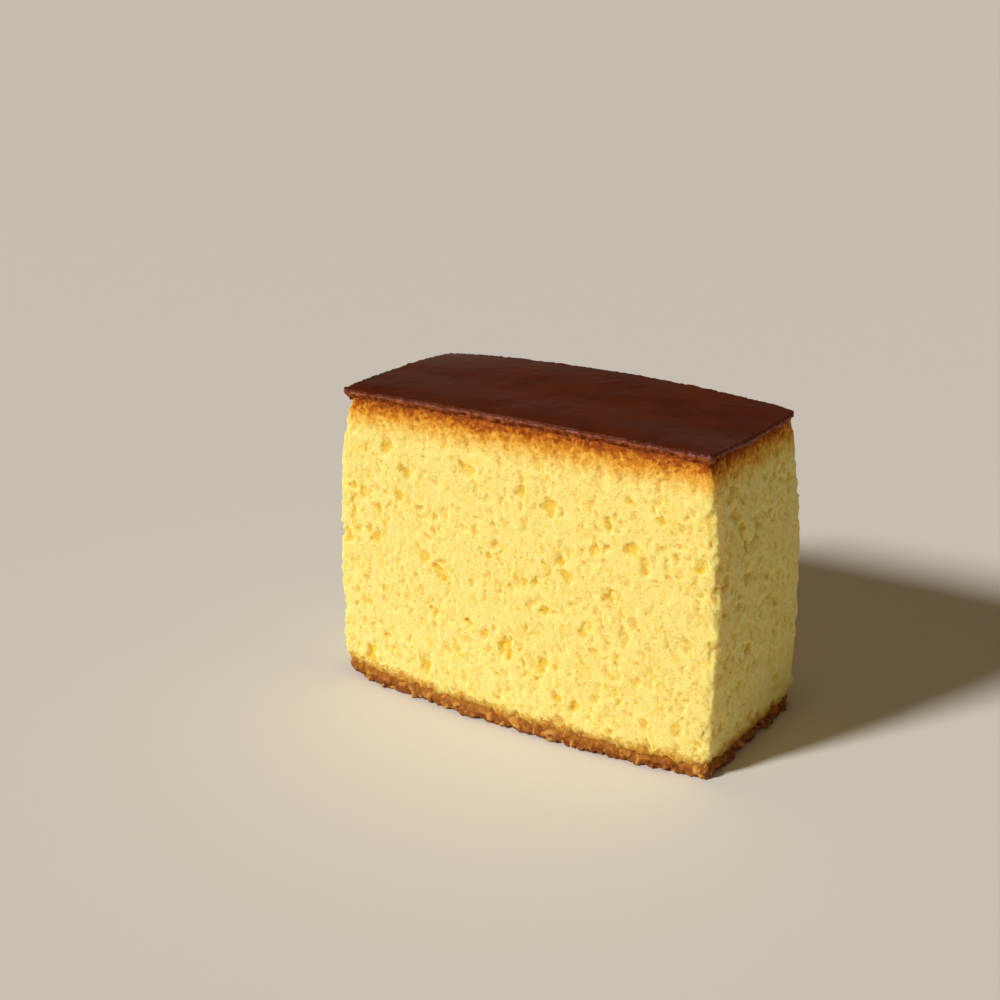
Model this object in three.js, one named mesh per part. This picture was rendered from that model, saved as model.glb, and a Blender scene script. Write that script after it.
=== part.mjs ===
// A slice of castella, the honey sponge baked in a long square loaf.
// It is one solid: crumb, dark baked skin on top and brown bottom crust are grown together.
// All four sides are knife cuts, so they show open crumb; only the top is a baked skin.
//
// Millimetres, +Z up. X runs along the slice, Y through its thickness, and -Y is the front.
// The origin is the centre of the underside, on the surface that the slice rests on.
import * as THREE from "three";
import { mergeVertices } from "three/addons/utils/BufferGeometryUtils.js";

const { lerp, smoothstep } = THREE.MathUtils;

// Driving dimensions, of the cut at its four corners.
const TOP_LENGTH = 68.6;
const TOP_THICKNESS = 31.6;
const BASE_LENGTH = 72.8;
const BASE_THICKNESS = 33;
const HEIGHT = 52;

// How the soft crumb spreads under its own weight: the sides widen downwards and the faces bow out.
const SPREAD_POWER = 2.5;
const FRONT_BOW = 2.7;
const FRONT_SKEW = 1.1;
const BACK_BOW = 1;
const RIGHT_BULGE = 0.9;

// The baked skin: it is firmer than the crumb, so the knife leaves it standing out as a thin lip.
const SKIN_THICKNESS = 1.3;
const SKIN_LIP = 0.2;
const SKIN_EDGE_ROUND = 0.3;
const LIP_SLOPE = 0.4;
const LIP_WAVE = 0.12;
const LIP_WAVE_LENGTH = 3;
const DIMPLE = 0.06;
const DIMPLE_SPACING = 4;

// The loaf's risen top: highest along the back edge, low at the two back corners.
const DOME_RISE_BACK = 1.5;
const DOME_RISE_FRONT = 0.3;
const CROWN = 0.8;
const CORNER_SAG = 0.5;
const BACK_CORNER_ROUND = 1.1;

// The bottom crust, torn ragged where the baking paper was peeled off.
const CRUST_THICKNESS = 2.7;
const CRUST_RAGGED = 0.5;
const CRUST_BUMP_LENGTH = 2.1;
const CRUST_BUMP_HEIGHT = 1.1;
const RIM_LIFT = 0.15;
const CRUST_LIFT = 0.4;
const CRUST_LIFT_LENGTH = 2.3;
const BASE_CORNER_TUCK = 1;
const BASE_CORNER_LIFT = 0.7;
const BASE_CORNER_REACH = 5;

// The flat rectangle of the underside that the slice stands on, drawn out to where its grid would end.
const FLAT_LENGTH = 70;
const FLAT_THICKNESS = 30;

// The open crumb: rough all over, hollowed a little just under the skin, with the corners rubbed off.
const CRUMB_INSET = 0.15;
const CRUMB_ROUGH = 0.25;
const CRUMB_BUMP = 1.7;
const WAIST_DEPTH = 0.8;
const WAIST_REACH = 6;
const WAIST_WANDER = 0.4;
const WAIST_WANDER_LENGTH = 9;
const CORNER_WEAR = 0.3;

// The largest air cells, opened by the cut.
const CELL_SPACING = 9.5;
const CELL_RADIUS = [1.5, 2.3];
const CELL_DEPTH = [0.7, 1.2];
const CELL_STRETCH = [0.8, 1.5];
const CELL_MARGIN = 2.5;
const CELL_SEED = 101;

// Mesh spacing in the crumb.
const PITCH = 1.95;

const CRUMB_COLOUR = new THREE.Color("#f8e178");
const TOASTED_COLOUR = new THREE.Color("#d98a35");
const TOASTED_BAND = 2.5;
const SKIN_COLOUR = new THREE.Color("#4f200f");
const CRUST_COLOUR = new THREE.Color("#b0702c");

// A whole number stirred into another that looks unrelated to it, from 0 to 1.
function stirred(number) {
  const stir = 0x45d9f3b;
  let bits = Math.imul(number ^ (number >>> 16), stir);
  bits = Math.imul(bits ^ (bits >>> 16), stir);
  return ((bits ^ (bits >>> 16)) >>> 0) / 2 ** 32;
}

// Each seed starts its own run of numbers, this far from the next.
const SEED_STRIDE = 100003;

// Repeatable random numbers from 0 to 1.
function randomFrom(seed) {
  let count = seed * SEED_STRIDE;
  return () => stirred(count++);
}

// Smooth noise from -1 to 1 over a plane, with bumps one unit apart.
function noiseField(seed) {
  const columnStride = 7919;
  const rowStride = 104729;
  const corner = (i, j) => 2 * stirred(seed * SEED_STRIDE + i * columnStride + j * rowStride) - 1;
  return (u, v) => {
    const i = Math.floor(u);
    const j = Math.floor(v);
    const shareU = smoothstep(u - i, 0, 1);
    const shareV = smoothstep(v - j, 0, 1);
    const low = lerp(corner(i, j), corner(i + 1, j), shareU);
    const high = lerp(corner(i, j + 1), corner(i + 1, j + 1), shareU);
    return lerp(low, high, shareV);
  };
}

const crumbNoise = noiseField(11);
const crustNoise = noiseField(23);
const skinNoise = noiseField(37);

// The four cut sides: how long each runs, the way it faces, its hollow under the skin,
// and where it lies in the noise, so that no two sides are alike.
const SIDES = [
  { length: BASE_LENGTH, faces: [0, -1], waist: 0.3 * WAIST_DEPTH, offset: 0 },
  { length: BASE_THICKNESS, faces: [1, 0], waist: 0.2 * WAIST_DEPTH, offset: 50 },
  { length: BASE_LENGTH, faces: [0, 1], waist: 0.4 * WAIST_DEPTH, offset: 100 },
  { length: BASE_THICKNESS, faces: [-1, 0], waist: WAIST_DEPTH, offset: 150 },
];
SIDES.forEach((side, i) => {
  side.cells = openedCells(side.length, CELL_SEED + i);
});

// The opened air cells of one side: bowls scattered over a loose grid, so that they spread evenly.
function openedCells(length, seed) {
  const random = randomFrom(seed);
  const within = (range) => lerp(range[0], range[1], random());
  const cells = [];
  const low = CRUST_THICKNESS + CELL_MARGIN;
  const high = HEIGHT - SKIN_THICKNESS - CELL_MARGIN;
  for (let up = low; up < high; up += CELL_SPACING) {
    for (let along = -length / 2; along < length / 2; along += CELL_SPACING) {
      cells.push({
        along: along + random() * CELL_SPACING,
        up: Math.min(up + random() * CELL_SPACING, high),
        radius: within(CELL_RADIUS),
        depth: within(CELL_DEPTH),
        stretch: within(CELL_STRETCH),
      });
    }
  }
  return cells;
}

function cellDepth(cells, along, up) {
  let depth = 0;
  for (const cell of cells) {
    const across = (along - cell.along) / cell.radius;
    const upwards = (up - cell.up) / (cell.radius * cell.stretch);
    const reach = Math.hypot(across, upwards);
    if (reach < 1) depth = Math.max(depth, cell.depth * (1 - reach * reach));
  }
  return depth;
}

// Heights of the mesh's rows: close together through the skin and the bottom crust, even through the crumb.
function rowHeights() {
  const crust = [0, CRUST_THICKNESS / 3, (2 * CRUST_THICKNESS) / 3, CRUST_THICKNESS];
  const underLip = HEIGHT - SKIN_THICKNESS - LIP_SLOPE;
  const skin = [underLip, HEIGHT - SKIN_THICKNESS, HEIGHT - SKIN_EDGE_ROUND, HEIGHT];
  const crumbRows = Math.round((underLip - CRUST_THICKNESS) / PITCH);
  const crumb = [];
  for (let i = 1; i < crumbRows; i++) {
    crumb.push(lerp(CRUST_THICKNESS, underLip, i / crumbRows));
  }
  return [...crust, ...crumb, ...skin];
}

// A place in plan is given by a, from -1 at the left end to 1 at the right, and b, from -1 at the front to 1.
// This is how high the top stands there over its cut edges.
function domeRise(a, b) {
  const back = (b + 1) / 2;
  const rise = lerp(DOME_RISE_FRONT, DOME_RISE_BACK, back) * (1 - a * a);
  const sag = CORNER_SAG * back * a ** 4;
  const crown = (CROWN * (1 - b * b) * (1 - a * Math.abs(a))) / 2;
  return rise - sag + crown;
}

// Half the slice's size at a height: it widens downwards from the skin.
const halfSize = (top, base, height) => lerp(base, top, (height / HEIGHT) ** SPREAD_POWER) / 2;

// How close a place in plan is to a corner that has lost its point: all of them but the front right one.
const wornCorner = (a, b) => (a > 0 && b < 0 ? 0 : (a * b) ** 8);

// The plan of the slice at a height: the faces bow out towards the base, and the corners are rounded off.
function planPlace(a, b, height) {
  const low = 1 - height / HEIGHT;
  const atBase = 1 - smoothstep(height, 0, BASE_CORNER_REACH);
  const backCorner = BACK_CORNER_ROUND * Math.max(b, 0) ** 6 * a ** 8;
  const corner = backCorner + BASE_CORNER_TUCK * wornCorner(a, b) * atBase;
  const frontBow = FRONT_BOW * (1 - a * a) * low + FRONT_SKEW * a * low * low;
  const bow = b < 0 ? frontBow : BACK_BOW * (1 - a * a) * low;
  const bulge = RIGHT_BULGE * Math.max(a, 0) * 4 * low * (1 - low);
  const x = a * (halfSize(TOP_LENGTH, BASE_LENGTH, height) + bulge - corner);
  const y = b * (halfSize(TOP_THICKNESS, BASE_THICKNESS, height) + bow - corner);
  return [x, y];
}

// How far a side's surface stands out from the plain cut at a place along it and a height.
function sideRelief(side, along, height) {
  const { offset } = side;
  if (height >= HEIGHT - SKIN_THICKNESS) {
    const rounding = height >= HEIGHT ? SKIN_EDGE_ROUND : 0;
    return SKIN_LIP - rounding + LIP_WAVE * skinNoise(along / LIP_WAVE_LENGTH + offset, 0);
  }
  if (height <= CRUST_THICKNESS) {
    return CRUST_RAGGED * crustNoise(along / CRUST_BUMP_LENGTH + offset, height / CRUST_BUMP_HEIGHT);
  }
  const rough = CRUMB_ROUGH * crumbNoise(along / CRUMB_BUMP + offset, height / CRUMB_BUMP);
  const underSkin = smoothstep(height, HEIGHT - WAIST_REACH, HEIGHT - SKIN_THICKNESS);
  const wander = 1 + WAIST_WANDER * skinNoise(along / WAIST_WANDER_LENGTH + offset, 5);
  return rough - CRUMB_INSET - side.waist * underSkin * wander - cellDepth(side.cells, along, height);
}

// Where a place in plan at a height lies once the cut sides have their relief.
function sidePlace(a, b, height) {
  let [x, y] = planPlace(a, b, height);
  const touching = SIDES.filter((side) => a * side.faces[0] + b * side.faces[1] > 0.999);
  const isCorner = touching.length > 1;
  for (const side of touching) {
    const along = side.faces[0] === 0 ? x : y;
    const worn = isCorner && height < HEIGHT - SKIN_THICKNESS ? CORNER_WEAR : 0;
    const out = sideRelief(side, along, height) - worn;
    x += out * side.faces[0];
    y += out * side.faces[1];
  }
  return [x, y, touching.length > 0];
}

function castellaGeometry() {
  const rows = rowHeights();
  const topRow = rows.length - 1;
  const box = new THREE.BoxGeometry(
    2, 2, 2,
    Math.round(BASE_LENGTH / PITCH), Math.round(BASE_THICKNESS / PITCH), topRow,
  );
  box.deleteAttribute("normal");
  box.deleteAttribute("uv");
  const geometry = mergeVertices(box);
  const place = geometry.getAttribute("position");
  const colours = new Float32Array(place.count * 3);

  for (let i = 0; i < place.count; i++) {
    const a = place.getX(i);
    const b = place.getY(i);
    const row = Math.round(((place.getZ(i) + 1) / 2) * topRow);
    const height = rows[row];
    let [x, y, isSide] = sidePlace(a, b, height);
    let z = height * (1 + domeRise(a, b) / HEIGHT);
    if (row === topRow) {
      z += isSide ? -SKIN_EDGE_ROUND : DIMPLE * skinNoise(x / DIMPLE_SPACING, y / DIMPLE_SPACING + 9);
    }
    if (row === 0 && isSide) {
      const torn = Math.abs(crustNoise(x / CRUST_LIFT_LENGTH, y / CRUST_LIFT_LENGTH));
      z = RIM_LIFT + CRUST_LIFT * torn + BASE_CORNER_LIFT * wornCorner(a, b);
    }
    if (row === 0 && !isSide) {
      x = (a * FLAT_LENGTH) / 2;
      y = (b * FLAT_THICKNESS) / 2;
    }
    place.setXYZ(i, x, y, z);
    colourAt(height).toArray(colours, i * 3);
  }
  geometry.setAttribute("color", new THREE.BufferAttribute(colours, 3));
  centreOnBase(geometry);
  geometry.computeVertexNormals();
  return geometry;
}

// Brown skin above, a toasted band just under it, yellow crumb, and the brown crust below.
function colourAt(height) {
  const skinFrom = HEIGHT - SKIN_THICKNESS;
  if (height >= skinFrom) return SKIN_COLOUR;
  if (height > skinFrom - TOASTED_BAND) return TOASTED_COLOUR;
  return height < CRUST_THICKNESS ? CRUST_COLOUR : CRUMB_COLOUR;
}

// Puts the origin at the middle of the underside.
function centreOnBase(geometry) {
  geometry.computeBoundingBox();
  const { min, max } = geometry.boundingBox;
  geometry.translate(-(min.x + max.x) / 2, -(min.y + max.y) / 2, -min.z);
}

const castella = new THREE.Mesh(
  castellaGeometry(),
  new THREE.MeshStandardMaterial({ vertexColors: true, roughness: 0.85, metalness: 0 }),
);
castella.name = "castella_slice";

const group = new THREE.Group();
group.add(castella);

export default group;
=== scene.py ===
"""A slice of castella sponge cake: open yellow crumb, a dark baked skin on top and a ragged crust below."""

import math

import bmesh
import bpy
import mathutils
import numpy as np
from bpy.props import FloatProperty, FloatVectorProperty, IntProperty, PointerProperty
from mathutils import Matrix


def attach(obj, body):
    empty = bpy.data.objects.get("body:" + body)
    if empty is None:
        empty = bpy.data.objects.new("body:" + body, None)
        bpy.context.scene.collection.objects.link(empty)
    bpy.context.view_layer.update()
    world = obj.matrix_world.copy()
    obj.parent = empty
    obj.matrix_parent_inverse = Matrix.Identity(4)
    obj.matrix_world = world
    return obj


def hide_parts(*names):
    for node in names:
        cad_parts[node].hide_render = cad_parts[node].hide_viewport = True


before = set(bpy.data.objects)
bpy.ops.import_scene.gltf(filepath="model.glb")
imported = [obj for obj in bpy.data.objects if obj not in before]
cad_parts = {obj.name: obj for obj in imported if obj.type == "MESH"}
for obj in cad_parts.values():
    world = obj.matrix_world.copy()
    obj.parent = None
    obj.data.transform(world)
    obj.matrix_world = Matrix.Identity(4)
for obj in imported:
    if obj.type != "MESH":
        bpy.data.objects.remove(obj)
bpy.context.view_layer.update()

bl_info = {
    "name": "Castella Slice",
    "version": (1, 0, 0),
    "blender": (4, 5, 0),
    "location": "3D View > Sidebar > Castella",
    "description": "Models a slice of castella sponge cake on a studio floor",
    "category": "Add Mesh",
}

MM = 0.001

# The middle of the cut block in plan, in millimetres. The origin is the middle of the solid's box.
BLOCK_CENTRE = (-0.174, 0.899)

# How the soft crumb spreads under its own weight, in millimetres: it widens downwards and its faces bow out.
SPREAD_POWER = 2.5
FRONT_BOW = 2.7
FRONT_SKEW = 1.1
BACK_BOW = 1.0
RIGHT_BULGE = 0.9

# How the corners are worn, in millimetres, and the powers that keep the wear close to them.
BACK_CORNER_ROUND = 0.6
BACK_POWER = 6
CORNER_POWER = 8
BASE_CORNER_TUCK = 1.0
BASE_CORNER_LIFT = 0.35
BASE_CORNER_REACH = 5.0

# The hollow under the skin, in millimetres.
WAIST_DEPTH = 0.8
WAIST_REACH = 6.0

# The largest air cells: how far apart and how far from skin and crust, in millimetres, and their draws.
CELL_SPACING = 9.5
CELL_MARGIN = 2.5
CELL_DRAWS = 5
FIRST_SIDE_DRAW = 101
SIDE_DRAWS_APART = 100003

# How far in from a sheet's rim its points may be pushed sideways, in millimetres.
RIM_REACH = 3.0

# Leaves the height out of a place in space, for relief that runs straight up.
IN_PLAN = (1, 1, 0)

# Settings that nodes share. The first adds the third input to the product of the other two.
SCALE_AND_ADD = {"operation": "MULTIPLY_ADD"}
SMOOTH = {"interpolation_type": "SMOOTHSTEP"}
OF_COLOURS = {"data_type": "RGBA"}

# The four cut sides, walked round from the front: the way each faces and runs, and how deep its hollow is.
SIDES = (
    {"faces": (0, -1), "runs": (1, 0), "waist": 0.3 * WAIST_DEPTH},
    {"faces": (1, 0), "runs": (0, 1), "waist": 0.2 * WAIST_DEPTH},
    {"faces": (0, 1), "runs": (-1, 0), "waist": 0.4 * WAIST_DEPTH},
    {"faces": (-1, 0), "runs": (0, -1), "waist": WAIST_DEPTH},
)


def linear(hex_colour):
    """An sRGB hex colour as linear red, green and blue."""
    shares = [int(hex_colour[i : i + 2], 16) / 255 for i in (1, 3, 5)]
    return tuple(s / 12.92 if s <= 0.04045 else ((s + 0.055) / 1.055) ** 2.4 for s in shares)


def length(name, description, millimetres):
    """A property that holds a length."""
    return FloatProperty(
        name=name, description=description, default=millimetres * MM, min=0, unit="LENGTH", precision=5
    )


def colour(name, description, hex_colour):
    """A property that holds a colour."""
    return FloatVectorProperty(
        name=name, description=description, default=linear(hex_colour), min=0, max=1, size=3, subtype="COLOR"
    )


class CastellaSizes(bpy.types.PropertyGroup):
    """Sizes of the slice"""

    top_length: length("Top length", "Length of the cut under the skin", 68.6)
    top_thickness: length("Top thickness", "Thickness of the cut under the skin", 31.6)
    base_length: length("Base length", "Length of the cut at the base", 72.8)
    base_thickness: length("Base thickness", "Thickness of the cut at the base", 33)
    height: length("Height", "Height of the cut at its corners", 52)
    dome_back: length("Dome, back", "How high the top rises along the back edge", 1.5)
    dome_front: length("Dome, front", "How high the top rises along the front edge", 0.3)
    crown: length("Crown", "How high the top rises between front and back", 0.8)
    skin_thickness: length("Skin thickness", "Thickness of the baked skin", 1.3)
    skin_lip: length("Skin lip", "How far the firm skin stands out from the crumb", 0.15)
    front_bead: length("Front bead", "How far the skin swells along the front edge", 0.75)
    crust_thickness: length("Crust thickness", "Height of the bottom crust", 2.2)
    crust_ragged: length("Crust raggedness", "How far the crust's torn edge wanders", 0.6)
    corner_round: length("Corner rounding", "Radius that the cut corners are rubbed to", 0.6)
    crumb_pitch: length("Crumb mesh pitch", "Distance between points on the cut sides", 0.33)
    skin_pitch: length("Skin mesh pitch", "Distance between points on the skin and the crust", 0.21)
    floor_size: length("Floor size", "Width of the studio floor", 12000)
    seed: IntProperty(name="Seed", description="Start of every random draw", default=7, min=0)


class CastellaColours(bpy.types.PropertyGroup):
    """Colours of the slice and its stage"""

    crumb: colour("Crumb", "Crumb on the ridges between the cells", "#f3df89")
    # Painted shade and glow: the colour that cells and pores darken to with depth, also used for random
    # golden patches.
    crumb_gold_and_shade: colour("Crumb, deep", "Crumb at the bottom of the cells", "#ebc648")
    scorched: colour("Scorched crumb", "Crumb that touches the skin", "#9a4d1b")
    caramel: colour("Caramel crumb", "Crumb about 0.6 mm under the skin", "#b96c1f")
    amber: colour("Amber crumb", "Crumb about 1.4 mm under the skin", "#cd8a2c")
    toasted: colour("Toasted crumb", "Crumb about 2 mm under the skin", "#dc9d38")
    honey: colour("Honey crumb", "Crumb about 3 mm under the skin", "#e5b552")
    straw: colour("Straw crumb", "Crumb about 4 mm under the skin", "#ebc666")
    tan: colour("Tan crumb", "Crumb about 0.6 mm over the bottom crust", "#cb9840")
    tan_light: colour("Tan crumb, light", "Crumb about 1.5 mm over the bottom crust", "#e0be64")
    skin: colour("Skin", "Baked skin", "#4f1d08")
    skin_light: colour("Skin, light", "Lighter mottling in the baked skin", "#5e270f")
    # Painted highlight: the pinkish glint along the top edge of the skin.
    skin_edge_highlight: colour("Skin, sugared edge", "Sugar grains along the skin's edge", "#8f5547")
    rim_dark: colour("Skin rim, dark", "Hollows in the cut rim of the skin", "#6a2f12")
    rim: colour("Skin rim", "Cut rim of the skin", "#8f481d")
    rim_light: colour("Skin rim, light", "Grains in the cut rim of the skin", "#ae682c")
    crust: colour("Crust", "Bottom crust", "#8d5019")
    crust_dark: colour("Crust, dark", "Scorched spots in the bottom crust", "#6e3414")
    crust_light: colour("Crust, light", "Crumbs that stick to the bottom crust", "#cb9145")
    golden: colour("Golden crust", "Crust and crumb where they meet", "#ad7029")
    floor: colour("Floor", "Studio floor", "#eae8e3")


def smoothstep(value, low, high):
    """0 below low, 1 above high, and a smooth rise between them; high may be the smaller."""
    share = np.clip((value - low) / (high - low), 0, 1)
    return share * share * (3 - 2 * share)


def blend(start, end, share):
    """The value that lies a share of the way from start to end."""
    return start + (end - start) * share


def bumps(places, size, seed):
    """Smooth noise from -1 to 1 at places in space, with bumps of a size in the places' unit."""
    cells = 64
    table = np.random.default_rng(seed).uniform(-1, 1, (cells, cells, cells))
    scaled = places / size
    corner = np.floor(scaled).astype(int)
    share = scaled - corner
    share = share * share * (3 - 2 * share)
    total = np.zeros(places.shape[:-1])
    for i in (0, 1):
        for j in (0, 1):
            for k in (0, 1):
                weight = (
                    (share[..., 0] if i else 1 - share[..., 0])
                    * (share[..., 1] if j else 1 - share[..., 1])
                    * (share[..., 2] if k else 1 - share[..., 2])
                )
                index = (corner + (i, j, k)) % cells
                total += weight * table[index[..., 0], index[..., 1], index[..., 2]]
    return total


def swells(noise, level):
    """Round swells and hollows about a level."""
    return noise - level


def ridges(noise, level):
    """Sharp ridges up to a level, round smooth hollows."""
    return level - np.abs(noise)


def lumps(noise, level):
    """Round lumps about a level, with sharp clefts between them."""
    return np.abs(noise) - level


def crags(noise, level):
    """Only what stands over a level."""
    return np.maximum(noise - level, 0)


def notches(noise, steepness):
    """Narrow notches between level stretches, with walls of a steepness."""
    return np.maximum(1 - steepness * np.abs(noise), 0)


# Relief drawn by chance. Each kind has its shape and that shape's level or steepness, its height and width
# in millimetres, and the number of its own draw. The waist's height is a share of the hollow's depth. Tears
# and stuck crumbs get their height where they are used.
RELIEF = {
    "waist_swells": (swells, 0, 0.4, 9, 1),
    "crumb_swells": (swells, 0, 0.12, 2.6, 2),
    "crumb_ridges": (ridges, 0.35, 0.13, 1.5, 3),
    "crumb_fine_ridges": (ridges, 0.35, 0.1, 0.9, 4),
    "crumb_edge_wander": (swells, 0, 0.6, 1.4, 6),
    "crumb_edge_fringe": (swells, 0, 0.4, 0.7, 7),
    "crumb_crags": (crags, 0.35, 0.55, 0.9, 8),
    "corner_chips": (crags, 0, 0.5, 2.2, 9),
    "corner_nicks": (lumps, 0, 0.6, 1.1, 10),
    "lip_swells": (swells, 0, 0.1, 3, 11),
    "lip_lumps": (swells, 0, 0.12, 0.8, 12),
    "lip_grains": (swells, 0, 0.22, 0.36, 13),
    "skin_waves": (swells, 0, 0.06, 4, 14),
    "skin_dimples": (swells, 0, 0.03, 1.5, 15),
    "skin_beads": (swells, 0, 0.14, 0.4, 16),
    "skin_edge_wander": (swells, 0, 0.4, 1.3, 17),
    "skin_edge_fringe": (swells, 0, 0.3, 0.6, 18),
    "crust_tears": (swells, 0, 1, 1.9, 21),
    "crust_lumps": (lumps, 0.3, 0.7, 1.2, 22),
    "crust_fine_lumps": (lumps, 0.3, 0.4, 0.6, 23),
    "crust_notches": (notches, 2.5, 0.6, 1.8, 24),
    "crust_peel": (swells, 0, 0.05, 1.2, 25),
    "crust_edge_wander": (swells, 0, 0.6, 1.5, 26),
    "crust_edge_fringe": (swells, 0, 0.4, 0.7, 27),
    "crust_fine_notches": (notches, 2.5, 0.4, 0.9, 28),
    "stuck_crumbs": (crags, 0.3, 1, 0.8, 29),
    "crust_edge_sweep": (swells, 0, 0.7, 5, 30),
    "cell_tears_up": (swells, 0, 0.75, 1.1, 31),
    "cell_fray_up": (swells, 0, 0.35, 0.5, 32),
    "cell_tears_along": (swells, 0, 0.75, 1.1, 33),
    "cell_fray_along": (swells, 0, 0.35, 0.5, 34),
}


def stirred(number):
    """A whole number stirred into one from 0 to 1 that looks unrelated to it."""
    stir = 0x45D9F3B
    bits = ((number ^ (number >> 16)) * stir) & 0xFFFFFFFF
    bits = ((bits ^ (bits >> 16)) * stir) & 0xFFFFFFFF
    return (bits ^ (bits >> 16)) / 2**32


class Form:
    """The outer form of the slice, in millimetres: the solid's, but less worn at the back corners."""

    def __init__(self, sizes):
        for name in CastellaSizes.__annotations__:
            value = getattr(sizes, name)
            setattr(self, name, value if isinstance(value, int) else value / MM)

    def dome(self, a, b):
        """How high the top stands over its corners, for places in plan from -1 to 1 each way."""
        back = (b + 1) / 2
        rise = blend(self.dome_front, self.dome_back, back) * (1 - a * a)
        crown = self.crown * (1 - b * b) * (1 - a * np.abs(a)) / 2
        return rise + crown

    def plan(self, a, b, height):
        """Where a place in plan lies at a height: the faces bow out below, and the corners are worn."""
        low = 1 - height / self.height
        drawn_in = (height / self.height) ** SPREAD_POWER
        half_x = blend(self.base_length, self.top_length, drawn_in) / 2
        half_y = blend(self.base_thickness, self.top_thickness, drawn_in) / 2
        back_corner = BACK_CORNER_ROUND * np.maximum(b, 0) ** BACK_POWER * a**CORNER_POWER
        tuck = BASE_CORNER_TUCK * self.worn_corner(a, b) * (1 - smoothstep(height, 0, BASE_CORNER_REACH))
        front_bow = FRONT_BOW * (1 - a * a) * low + FRONT_SKEW * a * low * low
        bow = np.where(b < 0, front_bow, BACK_BOW * (1 - a * a) * low)
        bulge = RIGHT_BULGE * np.maximum(a, 0) * 4 * low * (1 - low)
        x = a * (half_x + bulge - back_corner - tuck)
        y = b * (half_y + bow - back_corner - tuck)
        return x + BLOCK_CENTRE[0], y + BLOCK_CENTRE[1]

    @staticmethod
    def worn_corner(a, b):
        """1 at the corners of the base that have lost their point, all but the front right one."""
        return np.where((a > 0) & (b < 0), 0, (a * b) ** CORNER_POWER)

    def relief(self, places, *kinds):
        """The sum of some kinds of relief at places in space."""
        total = 0
        for kind in kinds:
            shape, level, height, width, draw = RELIEF[kind]
            total = total + height * shape(bumps(places, width, self.seed + draw), level)
        return total

    def opened_cells(self):
        """The largest air cells on the four sides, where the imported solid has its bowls.

        Each has its side, its place along it and up it, and three draws for its radius, depth and stretch.
        """
        cells = []
        low = self.crust_thickness + CELL_MARGIN
        high = self.height - self.skin_thickness - CELL_MARGIN
        for i, side in enumerate(SIDES):
            run = self.base_length if side["runs"][0] else self.base_thickness
            count = (FIRST_SIDE_DRAW + i) * SIDE_DRAWS_APART
            for row in range(math.ceil((high - low) / CELL_SPACING)):
                for column in range(math.ceil(run / CELL_SPACING)):
                    draws = [stirred(count + n) for n in range(CELL_DRAWS)]
                    count += CELL_DRAWS
                    along = -run / 2 + (column + draws[0]) * CELL_SPACING
                    up = min(low + (row + draws[1]) * CELL_SPACING, high)
                    cells.append((i, along, up, *draws[2:]))
        return cells


class Wrap:
    """A sheet of points wrapped round the four cut sides, with its corners rounded to a radius."""

    # How close to an upright corner its wear starts, and its points are also pushed the neighbour's way.
    wear_reach = 1.8
    push_reach = 2.0

    def __init__(self, form, pitch, heights, radius):
        counts = [round(n / pitch) for n in (form.base_length, form.base_thickness) * 2]
        side = np.repeat(np.arange(4), counts)
        along = np.concatenate([np.arange(n) / n * 2 - 1 for n in counts])
        faces = np.array([s["faces"] for s in SIDES], float)
        runs = np.array([s["runs"] for s in SIDES], float)
        half = np.where(side % 2 == 0, form.base_length, form.base_thickness) / 2
        at_end = along > 0
        near = (1 - np.abs(along)) * half
        angle = np.radians(45) * np.clip(1 - near / radius, 0, 1)
        neighbour = np.where(at_end, (side + 1) % 4, (side + 3) % 4)
        self.counts = counts
        self.starts = [sum(counts[:i]) for i in range(4)]
        self.columns = len(side)
        self.side = side
        self.near_corner = smoothstep(near, self.wear_reach, 0)
        self.heights = heights
        self.ways = faces[side] + faces[neighbour] * smoothstep(near, self.push_reach, radius)[:, None]
        slide = np.where(angle > 0, radius * (1 - np.sin(angle)) - near, 0) * np.where(at_end, -1, 1)
        sink = radius * (1 - np.cos(angle))
        a = faces[side][:, 0] + runs[side][:, 0] * along
        b = faces[side][:, 1] + runs[side][:, 1] * along
        self.a, self.b = np.meshgrid(a, heights)[0], np.meshgrid(b, heights)[0]
        self.height = np.meshgrid(a, heights)[1]
        x, y = form.plan(self.a, self.b, self.height)
        x = x + runs[side][:, 0] * slide - faces[side][:, 0] * sink
        y = y + runs[side][:, 1] * slide - faces[side][:, 1] * sink
        z = self.height * (1 + form.dome(self.a, self.b) / form.height)
        self.places = np.stack([x, y, z], axis=-1)

    def pushed(self, out):
        """The places, each moved out by a distance. A corner moves both ways and keeps its radius."""
        moved = self.places.copy()
        moved[..., :2] += self.ways[None] * out[..., None]
        return moved


def deselect_everything():
    """Leaves object mode with nothing selected."""
    if bpy.context.object and bpy.context.object.mode != "OBJECT":
        bpy.ops.object.mode_set(mode="OBJECT")
    bpy.ops.object.select_all(action="DESELECT")


def select_edges(piece, wanted):
    """In edit mode, selects the edges that a test picks."""
    mesh = bmesh.from_edit_mesh(piece.data)
    for edge in mesh.edges:
        edge.select_set(wanted(edge))
    bmesh.update_edit_mesh(piece.data)


def cut_upright_edges(piece, parts):
    """Cuts every upright edge into equal parts, in two goes of a hundred cuts at most."""
    most = 100
    level = 1e-6
    first = next(n for n in range(1, parts + 1) if parts % n == 0 and parts // n <= most)
    for cuts in (first - 1, parts // first - 1):
        if cuts:
            bpy.ops.mesh.select_all(action="DESELECT")
            select_edges(piece, lambda e: abs(e.verts[0].co.z - e.verts[1].co.z) > level)
            bpy.ops.mesh.subdivide(number_cuts=cuts, smoothness=0)


def places_of(piece):
    """The piece's points as rows of x, y and z."""
    places = np.zeros(len(piece.data.vertices) * 3)
    piece.data.vertices.foreach_get("co", places)
    return places.reshape(-1, 3)


def put_places(piece, places):
    """Moves the piece's points to places given in millimetres."""
    piece.data.vertices.foreach_set("co", (places * MM).ravel())
    piece.data.update()


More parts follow.
